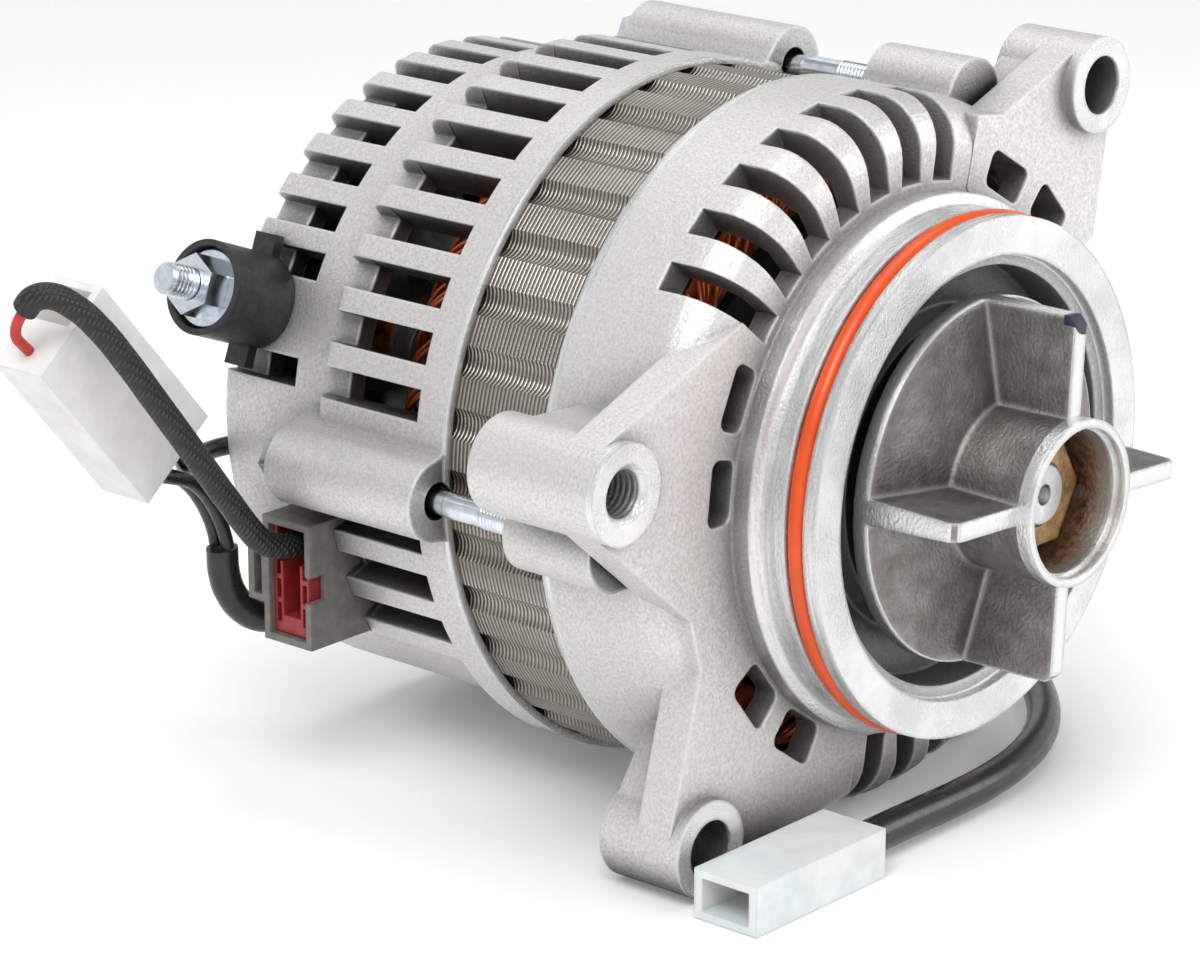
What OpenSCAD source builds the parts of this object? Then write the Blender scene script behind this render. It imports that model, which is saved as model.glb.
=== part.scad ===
// Motorcycle alternator with a vaned drive coupling, three-point mounting and an O-ring pilot.
// The shaft lies along Y. The drive end looks towards -Y, and +Z is up.
// The origin is the centre of the pilot's front face. Angles are seen from the drive end, from +X to +Z.

/* [Casing] */
// Outer radius of the two casing rims
casing_r = 65.8; // [65:0.1:67]
// Outer radius of the stator core
core_r = 64.4; // [63.4:0.1:64.8]
// Where the front casing ends and the stator core shows
front_rim_y = 47.2; // [46:0.1:49]
// Length of stator core that shows between the casings
core_gap = 22; // [20:0.5:25]
// Depth of core held in each casing rim
core_seat = 1.8; // [1:0.1:3]
// Wall thickness of the casings
wall = 4; // [3:0.1:5]
// Height of the front plate behind the pilot face
plate_y = 17; // [16.5:0.1:18]
// How much smaller in radius the rear drum is than the core
drum_step = 2.9; // [2:0.1:3.4]
// Length of the rear casing
rear_len = 60.8; // [59:0.1:64]

/* [Pilot and O-ring] */
// Radius of the pilot spigot
pilot_r = 47.5; // [46.5:0.1:48.5]
// Radius of the recess mouth in the pilot
recess_r = 40.6; // [39.5:0.1:42]
// Start of the O-ring groove behind the pilot face
groove_y = 2.9; // [2:0.1:4]
// Width of the O-ring groove
groove_w = 4; // [3.5:0.1:4.5]
// Depth of the O-ring groove
groove_d = 3.1; // [2.6:0.1:3.3]
// How far the O-ring stands proud of the pilot
ring_proud = 0.4; // [0.2:0.1:0.8]

/* [Mounting] */
// Radius of the circle that the three mounting holes lie on
mount_circle_r = 81; // [80:0.5:83]
// Radius of a mounting boss
mount_boss_r = 9; // [8:0.1:10]
// Radius of the through hole in the two ears
ear_hole_r = 5.5; // [4:0.1:6]
// Radius of the threaded hole in the near boss
tapped_hole_r = 4.3; // [3:0.1:5]
// Where the mounting faces lie behind the pilot face
mount_face_y = 14.5; // [13.5:0.1:16]
// Length of the two ears along the shaft
ear_len = 18; // [15:0.5:20]
// Length of the near boss along the shaft
near_boss_len = 28; // [25:0.5:30]
// Angle of the near threaded boss
near_angle = 170.5; // [168:0.5:172]
// Angle of the lower ear
lower_angle = 225; // [223:0.5:227]
// Angle of the upper ear
upper_angle = 48; // [46:0.5:50]

/* [Through bolts] */
// How far the middle of each through bolt stands off the core
bolt_stand = 3.2; // [3:0.1:4]
// Angle of the first of the three through bolts
bolt_angle = 182; // [181:0.5:183]
// Radius of the bolt's thread
bolt_r = 2.5; // [2.3:0.1:2.6]
// Radius of the bolt's plain shank
shank_r = 2.25; // [2:0.05:2.3]
// Radius of the rear casing's bolt hole
bolt_hole_r = 3.5; // [3.2:0.1:4]
// Radius of a bolt boss
bolt_boss_r = 7.5; // [7:0.1:8]
// Length of the rear bolt bosses
rear_boss_len = 36; // [34:0.5:38]

/* [Cooling slots] */
// Width of the slots between the ribs of the front casing
rib_slot_w = 5.6; // [4.5:0.1:6]
// Width of the slots between the fins of the rear casing
fin_slot_w = 5.9; // [5:0.1:6.4]
// Angle from one fin to the next
fin_pitch = 9; // [9:0.01:9.1]
// Length of the first row of slots
slot_row_len = 21; // [18:0.5:22]

/* [Stator] */
// Radius of the stator bore
stator_bore_r = 45; // [44.9:0.05:45.3]
// Number of stator slots and outer grooves
slot_count = 36; // [24:12:48]
// Radius of an outer groove
groove_r = 3.6; // [3:0.1:4]
// Depth of an outer groove
outer_groove_d = 1.4; // [1:0.1:1.8]
// Length of the front and rear winding heads
head_len = 12; // [10:0.5:12]

/* [Rotor] */
// Air gap between rotor and stator
air_gap = 0.5; // [0.4:0.05:0.7]
// Number of claws on each pole half
claw_count = 6; // [4:1:7]
// Radius of the fans
fan_r = 42.5; // [38:0.5:43]
// Number of blades on each fan
blade_count = 10; // [7:1:12]
// Radius of the slip rings
slip_r = 11; // [10.4:0.1:12]

/* [Bearings] */
// Outer radius of the front bearing
front_race_r = 23.5; // [23:0.1:24.5]
// Bore radius of the front bearing
front_bore_r = 8.5; // [8.2:0.1:8.8]
// Width of the front bearing
front_race_w = 14; // [13:0.5:14]
// Outer radius of the rear bearing
rear_race_r = 17.5; // [17.2:0.1:18.5]
// Bore radius of the rear bearing
rear_bore_r = 7.5; // [7.2:0.1:7.6]
// Width of the rear bearing
rear_race_w = 11; // [10:0.5:11.5]

/* [Drive coupling] */
// Radius of the coupling disc and of its vanes
coupling_r = 33.3; // [31:0.1:35]
// Radius of the hub tube
hub_r = 15.1; // [14.8:0.1:16]
// Radius of the hub's bore
hub_bore_r = 13; // [12:0.1:13.2]
// How far the hub stands in front of the pilot face
hub_reach = 21.4; // [20:0.1:23]
// How far the vanes stand in front of the pilot face
vane_reach = 19; // [17:0.1:19.5]
// Thickness of a vane at its front edge
vane_t = 3.2; // [2.8:0.1:4]
// Thickness of a vane at its root
vane_root_t = 4.8; // [4:0.1:6]
// Angle of the first vane
vane_angle = 86.5; // [80:0.5:90]

/* [Output terminal] */
// Angle of the output terminal
terminal_angle = 158.6; // [157:0.2:160]
// Where the terminal stands along the shaft
terminal_y = 123.6; // [123:0.1:124]
// Radius of the output stud
stud_r = 3; // [2.5:0.1:3.2]
// Outer radius of the terminal's insulator
insulator_r = 8.9; // [8.4:0.1:9.4]
// Distance of the stud's tip from the shaft axis
stud_tip_r = 87; // [86:0.5:90]

/* [Socket] */
// Width of the socket along the shaft
socket_w = 12; // [11.6:0.1:13]
// Height of the socket
socket_h = 24; // [23:0.5:26]
// How far the socket's mouth stands out from the rear drum
socket_stand = 8.5; // [7.5:0.5:10]

/* [Hidden] */
$fn = 96;

// Overlap that makes two parts of one casting fuse
fuse = 0.5;
// Clearance of a pressed or seated round piece
seat_gap = 0.02;
bolt_circle_r = core_r + bolt_stand;
drum_r = core_r - drum_step;
socket_reach = drum_r + socket_stand;
// Clearance between pieces of different bodies
run_gap = 0.3;

// Casings
core_y0 = front_rim_y - core_seat;
core_y1 = front_rim_y + core_gap + core_seat;
rear_rim_y = front_rim_y + core_gap;
rear_end_y = rear_rim_y + rear_len;
shoulder_r = pilot_r + 2;
shoulder_y = mount_face_y - 2.5;
bend_r = 9.8;
front_inner_r = core_r - 5;
drum_inner_r = drum_r - wall;
recess_wall_r = recess_r - 2.2;
recess_floor_y = 11.5;
plate_t = 4.5;
boss_front_y = 9;
front_boss_r = front_race_r + 5.5;
front_seat_y = 14.2;
seal_r = 20.5;
slot_row_y = rear_rim_y + 7.3;
slot_row_end = slot_row_y + slot_row_len;
fin_end_y = slot_row_end + 5;
rear_row_y = rear_end_y - 19;
rear_row_end = rear_end_y - 8;
ledge_r = drum_r - wall;
rear_inner_r = ledge_r - wall;
end_wall = 4;
end_inner_y = rear_end_y - end_wall;
fin_slots_near = [for (k = [0:10]) 168.5 - fin_pitch * k];
fin_slots_far = [for (k = [0:9]) 45.5 - fin_pitch * k];
fin_slots_low = [199.5, 208.5];
rear_slots_near = [for (k = [0:8]) 150.5 - fin_pitch * k];
rear_slots_far = [for (k = [0:4]) 36.5 - fin_pitch * k];
rib_slots = [80, 90, 100, 110, 120, 130, 140, 262, 272, 282, 318, 328, 338, 348, 358, 8, 18];
window_round = 1.8;
// Each window: first angle, last angle, inner radius, outer radius
windows = [[148.6, 161.4, 49.9, 56], [166.6, 179.4, 49.9, 56], [212.2, 224.4, 50, 57.8],
  [229.2, 241.4, 50, 57.8], [36.7, 47.8, 52.7, 59.9], [52.7, 65.3, 51.7, 58.7]];

// Mounting
hole_chamfer = 1.3;

// Bearings
front_ball_r = 3.9;
front_pitch_r = (front_race_r + front_bore_r) / 2 - 0.1;
rear_ball_r = 3;
rear_pitch_r = (rear_race_r + rear_bore_r) / 2;
ball_gap = 0.08;
land = 3.2;
retainer_y = front_seat_y + front_race_w;
retainer_t = 2.4;
retainer_holes = [45, 135, 225, 315];
screw_r = 2;
rear_bearing_y = end_inner_y - rear_race_w - 0.2;

// Rotor
rotor_r = stator_bore_r - air_gap;
pole_y0 = 38;
pole_y1 = 79;
pole_t = 8;
pole_disc_r = rotor_r - 7.5;
claw_inner_r = pole_disc_r + 1;
claw_tip_gap = 2;
claw_root_w = 22;
claw_tip_w = 9;
pole_core_r = 14;
shaft_r = 10;
coil_r = 34;
fan_t = 1.4;
slip_hub_r = slip_r - 2.4;
slip_y = [96, 103];
slip_w = 5;
slip_hub_y0 = 93;
slip_hub_y1 = 110.5;

// Coupling
shaft_front_y = -13.7;
thread_r = 6;
spline_r = 7;
hub_floor_y = -4.5;
hub_tail_r = 12;
disc_bulge = 4;
disc_t = 3;
washer_t = 1.8;
nut_h = 6.6;
nut_af = 19;

// Brushes
brush_len = 16;
brush_x = 7;
brush_y = 5;
brush_top_z = -slip_r - run_gap;
brush_bottom_z = brush_top_z - brush_len;
holder_floor_z = -42;
holder_top_z = -slip_r - 1.6;
holder_x = 17;
holder_y0 = slip_y[0] - 2.6;
holder_y1 = slip_y[1] + slip_w + 2.6;
guide_gap = 0.3;
spring_wire_r = 0.35;
spring_r = 1.7;

// Rectifier and regulator
stack_r0 = 26;
stack_r1 = drum_r - 11.5;
stack_a0 = -14;
stack_a1 = 172;
neg_plate_y = end_inner_y - 12;
neg_plate_t = 3;
spacer_len = 6.5;
pos_plate_t = 3;
pos_plate_y = neg_plate_y - spacer_len - pos_plate_t;
post_angles = [-4, 56, 118, 143];
post_circle_r = drum_r - 15.5;
post_r = 3.6;
diode_angles = [16, 36, 76, 96, 131, 160];
diode_circle_r = post_circle_r - 8;
diode_r = 5.6;
reg_a0 = 188;
reg_a1 = 238;
reg_y0 = holder_y0;
reg_y1 = end_inner_y - 4;
reg_posts = [194, 231];

// Terminal
clamp_r = drum_r + 13.9;
washer_r = 7.1;
nut_corner_r = 5.77;
strap_t = 1.6;
strap_w = 8;
stud_head_af = 8;
neck_r = 4.4;
notch_w = 9.8;
arm_reach = 12.5;
// the bare end of the output stud, beyond its nut
stud_end_r = clamp_r + 5.3;
// the stud below it, at the core of its thread
stud_core_r = stud_r - 0.35;

// Socket
socket_y = 105;
socket_z = -25;
socket_wall = 1.4;
socket_back_x = -52;

// Harness connector: its middle and its tilt
plug_at = [-100, 120, 15.5];
plug_tilt = 50;
plug_len = 38;
plug_w = 12;
plug_h = 20;

// Way out of the lead at the lower right, and way in of the wire sleeve
grommet_angle = -30;
grommet_y = 116;
grommet_r = 4.6;
grommet_flange_r = 6.5;
grommet_flange_t = 3.4;
sleeve_angle = 212;
sleeve_y = 118;

// Cords: each route is a list of points chosen by hand
braid_d = 4.8;
braid_route = [[-55.3, 105, -18], [-61, 105, -18], [-66, 105, -18], [-70.2, 105, -17.8],
  [-74.1, 105, -16.6], [-76.8, 105, -14.9], [-79, 105, -12.6], [-84, 105, -6.2], [-89, 105, 0.4],
  [-95, 105.1, 8.5], [-101, 105.6, 16.8], [-106.4, 106.6, 24.7], [-111.2, 108, 31.4],
  [-115, 110, 35.8], [-118.2, 112.6, 38], [-120, 115, 37.4], [-120.4, 116.8, 35.4]];
red_d = 2;
red_route = [[-120.4, 117, 35.1], [-120.7, 118.2, 33.2], [-120.5, 119.3, 31.2], [-119.8, 119.9, 29.4],
  [-118.6, 120, 28.1], [-116.95, 120, 26.45]];
wire_d = 2.6;
sense_route_a = [[-89.9, 121.5, -1.2], [-87.7, 121.5, -3], [-84.6, 121.5, -4.2],
  [-81.2, 121.5, -5.6], [-78, 121.7, -8], [-75, 122.2, -11.4], [-72.6, 122.7, -15], [-71, 122.9, -18.6],
  [-70.3, 123, -21.4]];
sense_route_b = [[-89.9, 118.5, -1.2], [-87.7, 118.5, -3], [-84.6, 118.5, -4.2],
  [-81.2, 118.5, -5.6], [-78, 118.8, -8], [-75, 119.3, -11.4], [-72.6, 119.8, -15], [-71, 120, -18.6],
  [-70.3, 120, -21.4]];
sleeve_d = 6;
sleeve_route = [[-42.7, 118, -26.7], [-47.5, 118, -29.7], [-52.3, 118, -32.7], [-56, 118.2, -35.4],
  [-59.6, 118.8, -37], [-63, 119.6, -36.6], [-66.2, 120.5, -34.4], [-68.6, 121.2, -31],
  [-69.9, 121.5, -27], [-70.3, 121.5, -21.7]];
earth_d = 3.6;
earth_route = [[-50, 130.2, -9], [-50, 133, -9], [-51.5, 135.6, -9], [-55, 136.8, -9],
  [-60.5, 136, -8.8], [-66, 133, -8.4], [-71, 129, -7.6], [-75, 125.4, -6], [-78.4, 122.4, -3.4],
  [-81.2, 120.6, 0], [-83.8, 120, 3.9]];
lead_d = 6.5;
lead_route = [[56.6, 116, -32.6], [61, 116, -35.2], [65.5, 115.4, -38], [69.6, 113.2, -41.6],
  [72.8, 109.4, -46], [75, 104.2, -50.4], [76.2, 97.6, -54.4], [76.4, 90, -57.6], [75.8, 82, -59.7],
  [74.6, 73.5, -60.8], [72.8, 64, -61], [70.4, 54, -61], [67, 44, -61], [62.6, 35, -61.1],
  [57, 27.4, -61.2], [50, 20.6, -61.3], [42, 14.6, -61.4], [33, 9.8, -61.5], [23, 6.4, -61.6],
  [12, 4.4, -61.7], [0.5, 3.8, -61.8], [-10, 3.9, -61.8], [-20, 4, -61.8], [-29.7, 4, -61.8]];

// Places a flat outline, drawn in X and Z, between two stations along Y
module along_y(y0, y1) {
  translate([0, y1, 0])
    rotate([90, 0, 0])
      linear_extrude(height = y1 - y0)
        children();
}

// Turns an outline of [radius, y] points about the shaft axis
module turned(outline) {
  rotate([90, 0, 0])
    rotate_extrude()
      polygon([for (p = outline) [p[0], -p[1]]]);
}

// A ring of rectangular section
module ring(r0, r1, y0, y1) {
  turned([[r0, y0], [r1, y0], [r1, y1], [r0, y1]]);
}

// A part of such a ring, from angle a0 to angle a1
module arc_block(r0, r1, y0, y1, a0, a1) {
  rotate([90, 0, 0])
    rotate([0, 0, a0])
      rotate_extrude(angle = a1 - a0)
        polygon([[r0, -y1], [r1, -y1], [r1, -y0], [r0, -y0]]);
}

// Turns what was drawn at angle zero to angle a
module at_angle(a) {
  rotate([0, -a, 0])
    children();
}

// A round bar along Y
module bar_y(x, z, r, y0, y1) {
  translate([x, y1, z])
    rotate([90, 0, 0])
      cylinder(r = r, h = y1 - y0);
}

// A round bar along Y at a radius and an angle
module post(r, a, bar_r, y0, y1) {
  at_angle(a)
    bar_y(r, 0, bar_r, y0, y1);
}

// A hexagonal bar along Y, af across its flats
module hex_y(x, z, af, y0, y1) {
  translate([x, y1, z])
    rotate([90, 0, 0])
      cylinder(d = af / cos(30), h = y1 - y0, $fn = 6);
}

// Points of an arc about a centre
function arc_points(cx, cy, r, a0, a1, n) =
  [for (i = [0:n]) let (a = a0 + (a1 - a0) * i / n) [cx + r * cos(a), cy + r * sin(a)]];

// A point in the X and Z plane at a radius and an angle
function polar(r, a) = [r * cos(a), r * sin(a)];

// Outline of a window between two radii and two angles, with rounded corners
function window_points(r0, r1, a0, a1, c) =
  let (
    d0 = asin(c / (r0 + c)),
    d1 = asin(c / (r1 - c)),
    i0 = polar(r0 + c, a0 + d0),
    i1 = polar(r0 + c, a1 - d0),
    o1 = polar(r1 - c, a1 - d1),
    o0 = polar(r1 - c, a0 + d1)
  )
  concat(
    arc_points(i0[0], i0[1], c, a0 + 270, a0 + 180, 4),
    arc_points(i1[0], i1[1], c, a1 + 180, a1 + 90, 4),
    arc_points(o1[0], o1[1], c, a1 + 90, a1, 4),
    arc_points(o0[0], o0[1], c, a0, a0 - 90, 4)
  );

// A flat link outline from one circle to another
module link(c0, r0, c1, r1) {
  d = norm(c1 - c0);
  a = atan2(c1[1] - c0[1], c1[0] - c0[0]);
  b = acos((r0 - r1) / d);
  translate(c0)
    circle(r = r0);
  translate(c1)
    circle(r = r1);
  // the sides start just inside the circles, so that no line only touches a circle
  polygon([c0 + 0.98 * r0 * [cos(a + b), sin(a + b)], c1 + 0.98 * r1 * [cos(a + b), sin(a + b)],
    c1 + 0.98 * r1 * [cos(a - b), sin(a - b)], c0 + 0.98 * r0 * [cos(a - b), sin(a - b)]]);
}

// Vector helpers for a tube along a route
function unit(v) = v / norm(v);
function along(p, i) = unit(p[min(i + 1, len(p) - 1)] - p[max(i - 1, 0)]);
function side_of(t) = unit(cross(t, abs(t[1]) < 0.9 ? [0, 1, 0] : [0, 0, 1]));

// A tube with flat ends along a route
module tube(route, d, sides) {
  n = len(route);
  pts = [for (i = [0:n - 1])
    let (t = along(route, i), u = side_of(t), v = cross(t, u))
    for (k = [0:sides - 1])
      route[i] + d / 2 * (cos(360 * k / sides) * u + sin(360 * k / sides) * v)];
  walls = [for (i = [0:n - 2]) for (k = [0:sides - 1])
    let (a = i * sides + k, b = i * sides + (k + 1) % sides)
    [a, a + sides, b + sides, b]];
  ends = [[for (k = [0:sides - 1]) k], [for (k = [0:sides - 1]) n * sides - 1 - k]];
  polyhedron(points = pts, faces = concat(walls, ends), convexity = 6);
}

// Front casing

// Outside of the front casing, solid to the axis
front_outside = concat(
  [[0, 0], [pilot_r, 0], [pilot_r, groove_y], [pilot_r - groove_d, groove_y],
    [pilot_r - groove_d, groove_y + groove_w], [pilot_r, groove_y + groove_w],
    [pilot_r, shoulder_y], [shoulder_r, shoulder_y + 1], [shoulder_r, plate_y]],
  [for (i = [0:8]) let (a = 90 * i / 8)
    [casing_r - bend_r + bend_r * sin(a), plate_y + bend_r - bend_r * cos(a)]],
  [[casing_r, front_rim_y], [0, front_rim_y]]
);

// Recess in front of the bearing, with the seat of the seal and of the bearing
front_bores = [[0, -1], [recess_r, -1], [recess_r, 2], [recess_wall_r, 2.6],
  [recess_wall_r, recess_floor_y], [front_boss_r + 1, recess_floor_y], [front_boss_r - 1, boss_front_y],
  [seal_r, boss_front_y], [seal_r, front_seat_y], [front_race_r, front_seat_y],
  [front_race_r, retainer_y + 1], [0, retainer_y + 1]];

// Room for the winding, the fan and the rotor, with the seat of the stator core
front_room = [[0, retainer_y], [front_boss_r, retainer_y], [front_boss_r, plate_y],
  [recess_wall_r + 3.6, plate_y], [front_inner_r - 13, plate_y + plate_t],
  [front_inner_r - 3.4, plate_y + plate_t + 0.6], [front_inner_r - 0.8, plate_y + 8.5],
  [front_inner_r, plate_y + 13], [front_inner_r, core_y0], [core_r + seat_gap, core_y0],
  [core_r + seat_gap, front_rim_y + 1], [0, front_rim_y + 1]];

// Flat plate between the near boss and the lower ear
module near_plate() {
  boss = polar(mount_circle_r, near_angle);
  ear = polar(mount_circle_r, lower_angle);
  polygon([polar(58.5, 142), [boss[0] - 4, boss[1] + 8.1], [boss[0] - 4, boss[1] - 8.1], polar(62, 194),
    polar(62.4, 203), [ear[0] - 8.3, ear[1] + 3.4], [ear[0] - 2, ear[1] - 8.7],
    [ear[0] + 5, ear[1] - 7.4], polar(61.5, 256), polar(50, 256), polar(44, 200), polar(50, 142)]);
}

// Flat plate that carries the upper ear
module upper_plate() {
  ear = polar(mount_circle_r, upper_angle);
  polygon([polar(50, 71), polar(63.4, 72), polar(65, 65.5), [ear[0] - 6, ear[1] + 6.6],
    [ear[0] + 6.2, ear[1] - 6.5], polar(64.4, 28.8), polar(50, 27)]);
}

module front_mounts() {
  for (a = [lower_angle, upper_angle]) {
    post(mount_circle_r, a, mount_boss_r, mount_face_y, mount_face_y + ear_len);
    along_y(plate_y + 0.4, plate_y + 15)
      link(polar(mount_circle_r, a), mount_boss_r - fuse, polar(52, a), 13);
  }
  post(mount_circle_r, near_angle, mount_boss_r, mount_face_y, mount_face_y + near_boss_len);
  along_y(plate_y + 0.4, plate_y + 22)
    link(polar(mount_circle_r, near_angle), mount_boss_r - fuse, polar(54, near_angle + 3), 14);
}

module front_frame() {
  color("#c9c9c6")
    difference() {
      union() {
        turned(front_outside);
        along_y(plate_y - 0.1, plate_y + plate_t + 3)
          near_plate();
        along_y(plate_y - 0.1, plate_y + plate_t + 3)
          upper_plate();
        front_mounts();
        for (k = [0:2])
          along_y(front_rim_y - 20, front_rim_y - 0.1)
            link(polar(bolt_circle_r, bolt_angle + 120 * k), bolt_boss_r,
              polar(56, bolt_angle + 120 * k), bolt_boss_r + 1);
      }
      turned(front_bores);
      turned(front_room);
      for (w = windows)
        along_y(plate_y - 1, plate_y + 12)
          polygon(window_points(w[2], w[3], w[0], w[1], window_round));
      for (a = rib_slots)
        at_angle(a)
          translate([shoulder_r + 1.5, plate_y - 5, -rib_slot_w / 2])
            cube([casing_r, 19.5, rib_slot_w]);
      for (a = [lower_angle, upper_angle])
        post(mount_circle_r, a, ear_hole_r, mount_face_y - 1, mount_face_y + ear_len + 1);
      post(mount_circle_r, near_angle, tapped_hole_r, mount_face_y - 1, mount_face_y + near_boss_len - 6);
      // chamfer at the mouth of the threaded hole
      at_angle(near_angle)
        translate([mount_circle_r, mount_face_y + hole_chamfer, 0])
          rotate([90, 0, 0])
            cylinder(r1 = tapped_hole_r - 0.2, r2 = tapped_hole_r + hole_chamfer + 0.5,
              h = hole_chamfer + 0.7);
      for (k = [0:2])
        post(bolt_circle_r, bolt_angle + 120 * k, bolt_r + seat_gap, front_rim_y - 17, front_rim_y + 1);
      for (a = retainer_holes)
        post(front_boss_r - 2.6, a, screw_r + seat_gap, retainer_y - 8, retainer_y + 1);
    }
}

module pilot_o_ring() {
  section_r = (groove_d + ring_proud - seat_gap) / 2;
  color("#e04a1c")
    rotate([90, 0, 0])
      rotate_extrude()
        translate([pilot_r + ring_proud - section_r, -(groove_y + groove_w / 2)])
          circle(r = section_r);
}

module front_seal() {
  color("#2b2b2b")
    turned([[hub_tail_r + run_gap, boss_front_y + 3], [hub_tail_r + run_gap, boss_front_y + 1.4],
      [hub_tail_r + 2.5, boss_front_y + 0.4], [seal_r - seat_gap, boss_front_y + 0.4],
      [seal_r - seat_gap, front_seat_y - 0.1], [seal_r - 3, front_seat_y - 0.1],
      [seal_r - 3, boss_front_y + 3]]);
}

// Rear casing

// Outside of the rear casing, solid to the axis
rear_outside = concat(
  [[0, rear_rim_y], [casing_r, rear_rim_y], [casing_r, slot_row_y], [drum_r, slot_row_y + 2.2]],
  [for (i = [0:5]) let (a = 90 * i / 5)
    [drum_r - 2.5 + 2.5 * cos(a), rear_end_y - 2.5 + 2.5 * sin(a)]],
  [[0, rear_end_y]]
);

// Room inside the rear casing, around the boss of the rear bearing
rear_room = [[0, rear_rim_y - 1], [core_r + seat_gap, rear_rim_y - 1], [core_r + seat_gap, core_y1],
  [front_inner_r, core_y1], [drum_inner_r, rear_rim_y + core_seat + 4], [drum_inner_r, rear_row_y - 3],
  [rear_inner_r, rear_row_y - 1], [rear_inner_r, end_inner_y], [rear_race_r + 6.5, end_inner_y],
  [rear_race_r + 5, rear_bearing_y - 0.4], [rear_race_r + seat_gap, rear_bearing_y - 0.4],
  [rear_race_r + seat_gap, end_inner_y], [0, end_inner_y]];

// Envelope that rounds the rear ends of the fins
fin_envelope = concat(
  [[drum_inner_r + 1, slot_row_y - 2], [casing_r - 0.05, slot_row_y - 2]],
  [for (i = [0:5]) let (a = 90 * i / 5)
    [casing_r - 3.65 + 3.6 * cos(a), fin_end_y - 3.6 + 3.6 * sin(a)]],
  [[drum_r - 1, fin_end_y], [drum_inner_r + 1, fin_end_y - 1]]
);

// Fins stand midway between neighbouring slots, and one stands outside each end of a row
function fins_of(row) = concat([row[0] + fin_pitch / 2], [for (a = row) a - fin_pitch / 2]);

module rear_fins() {
  fin_w = 2 * PI * casing_r * fin_pitch / 360 - fin_slot_w;
  intersection() {
    turned(fin_envelope);
    union()
      for (row = [fin_slots_near, fin_slots_far, [fin_slots_low[1], fin_slots_low[0]]])
        for (a = fins_of(row))
          at_angle(a)
            translate([drum_inner_r, slot_row_y - 3, -fin_w / 2])
              cube([casing_r, fin_end_y, fin_w]);
  }
}

module rear_slots() {
  for (a = concat(fin_slots_near, fin_slots_far, fin_slots_low))
    at_angle(a)
      translate([drum_inner_r - 6, slot_row_y, -fin_slot_w / 2])
        cube([20, slot_row_len, fin_slot_w]);
  for (a = concat(rear_slots_near, rear_slots_far, [169])) {
    at_angle(a)
      translate([rear_inner_r - 5, rear_row_y, -fin_slot_w / 2 + 0.3])
        cube([20, rear_row_end - rear_row_y, fin_slot_w - 0.6]);
    at_angle(a)
      translate([ledge_r, rear_row_end - 1, -fin_slot_w / 2 + 0.3])
        cube([20, 20, fin_slot_w - 0.6]);
  }
}

module rear_holes() {
  rear_slots();
  for (k = [0:2])
    post(bolt_circle_r, bolt_angle + 120 * k, bolt_hole_r, rear_rim_y - 1, rear_rim_y + rear_boss_len + 1);
  // notch for the terminal's neck, open to the rear
  at_angle(terminal_angle)
    translate([rear_inner_r - 7.5, terminal_y - notch_w / 2, -notch_w / 2])
      cube([24, 20, notch_w]);
  // way in for the socket
  translate([-drum_r - 10, socket_y - socket_w / 2 - 0.2, socket_z - socket_h / 2 - 0.2])
    cube([drum_r - 32, socket_w + 0.4, socket_h + 0.4]);
  translate([-drum_r - 10, socket_y, socket_z - 5.3])
    cube([14.2, socket_w / 2 + 4.3, 11.6]);
  // way in for the wire sleeve and way out for the lead
  at_angle(sleeve_angle)
    translate([rear_inner_r - 3, sleeve_y, 0])
      rotate([0, 90, 0])
        cylinder(r = sleeve_d / 2 + run_gap, h = 15);
  at_angle(grommet_angle)
    translate([rear_inner_r - 3, grommet_y, 0])
      rotate([0, 90, 0])
        cylinder(r = grommet_r + seat_gap, h = 15);
  // end wall vents
  for (a = [20, 40, 60, 80, 100, 120, 140, 200, 220, 320, 340])
    at_angle(a)
      translate([rear_race_r + 9, end_inner_y - 1, -2.6])
        cube([14, end_wall + 2, 5.2]);
  bar_y(0, 0, 5, end_inner_y - 1, rear_end_y + 1);
  for (a = post_angles)
    post(post_circle_r, a, screw_r + seat_gap, neg_plate_y, end_inner_y + 1);
  for (a = reg_posts)
    post(post_circle_r - 3, a, screw_r + seat_gap, reg_y1 - 1, end_inner_y + 1);
}

module rear_frame() {
  color("#c4c4c1")
    difference() {
      union() {
        difference() {
          union() {
            turned(rear_outside);
            rear_fins();
            for (k = [0:2])
              along_y(rear_rim_y + 0.1, rear_rim_y + rear_boss_len)
                link(polar(bolt_circle_r, bolt_angle + 120 * k), bolt_boss_r,
                  polar(58, bolt_angle + 120 * k), bolt_boss_r + 2.5);
          }
          turned(rear_room);
        }
        for (a = post_angles)
          post(post_circle_r, a, post_r + 1, neg_plate_y + neg_plate_t, end_inner_y + 1);
        for (a = reg_posts)
          post(post_circle_r - 3, a, post_r + 1, reg_y1, end_inner_y + 1);
        for (x = [-1, 1])
          translate([x * 13 - 4, holder_y1, holder_floor_z + 1])
            cube([8, end_inner_y - holder_y1 + 1, 9]);
      }
      rear_holes();
    }
}

// Stator

module stator_core() {
  step = 360 / slot_count;
  color("#b9b6aa")
    along_y(core_y0, core_y1)
      difference() {
        circle(r = core_r);
        circle(r = stator_bore_r);
        for (k = [0:slot_count - 1]) {
          rotate(step * k)
            translate([core_r - outer_groove_d + groove_r, 0])
              circle(r = groove_r, $fn = 32);
          rotate(step * k)
            translate([stator_bore_r - 1, -1.9])
              square([12.6, 3.8]);
        }
      }
}

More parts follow.
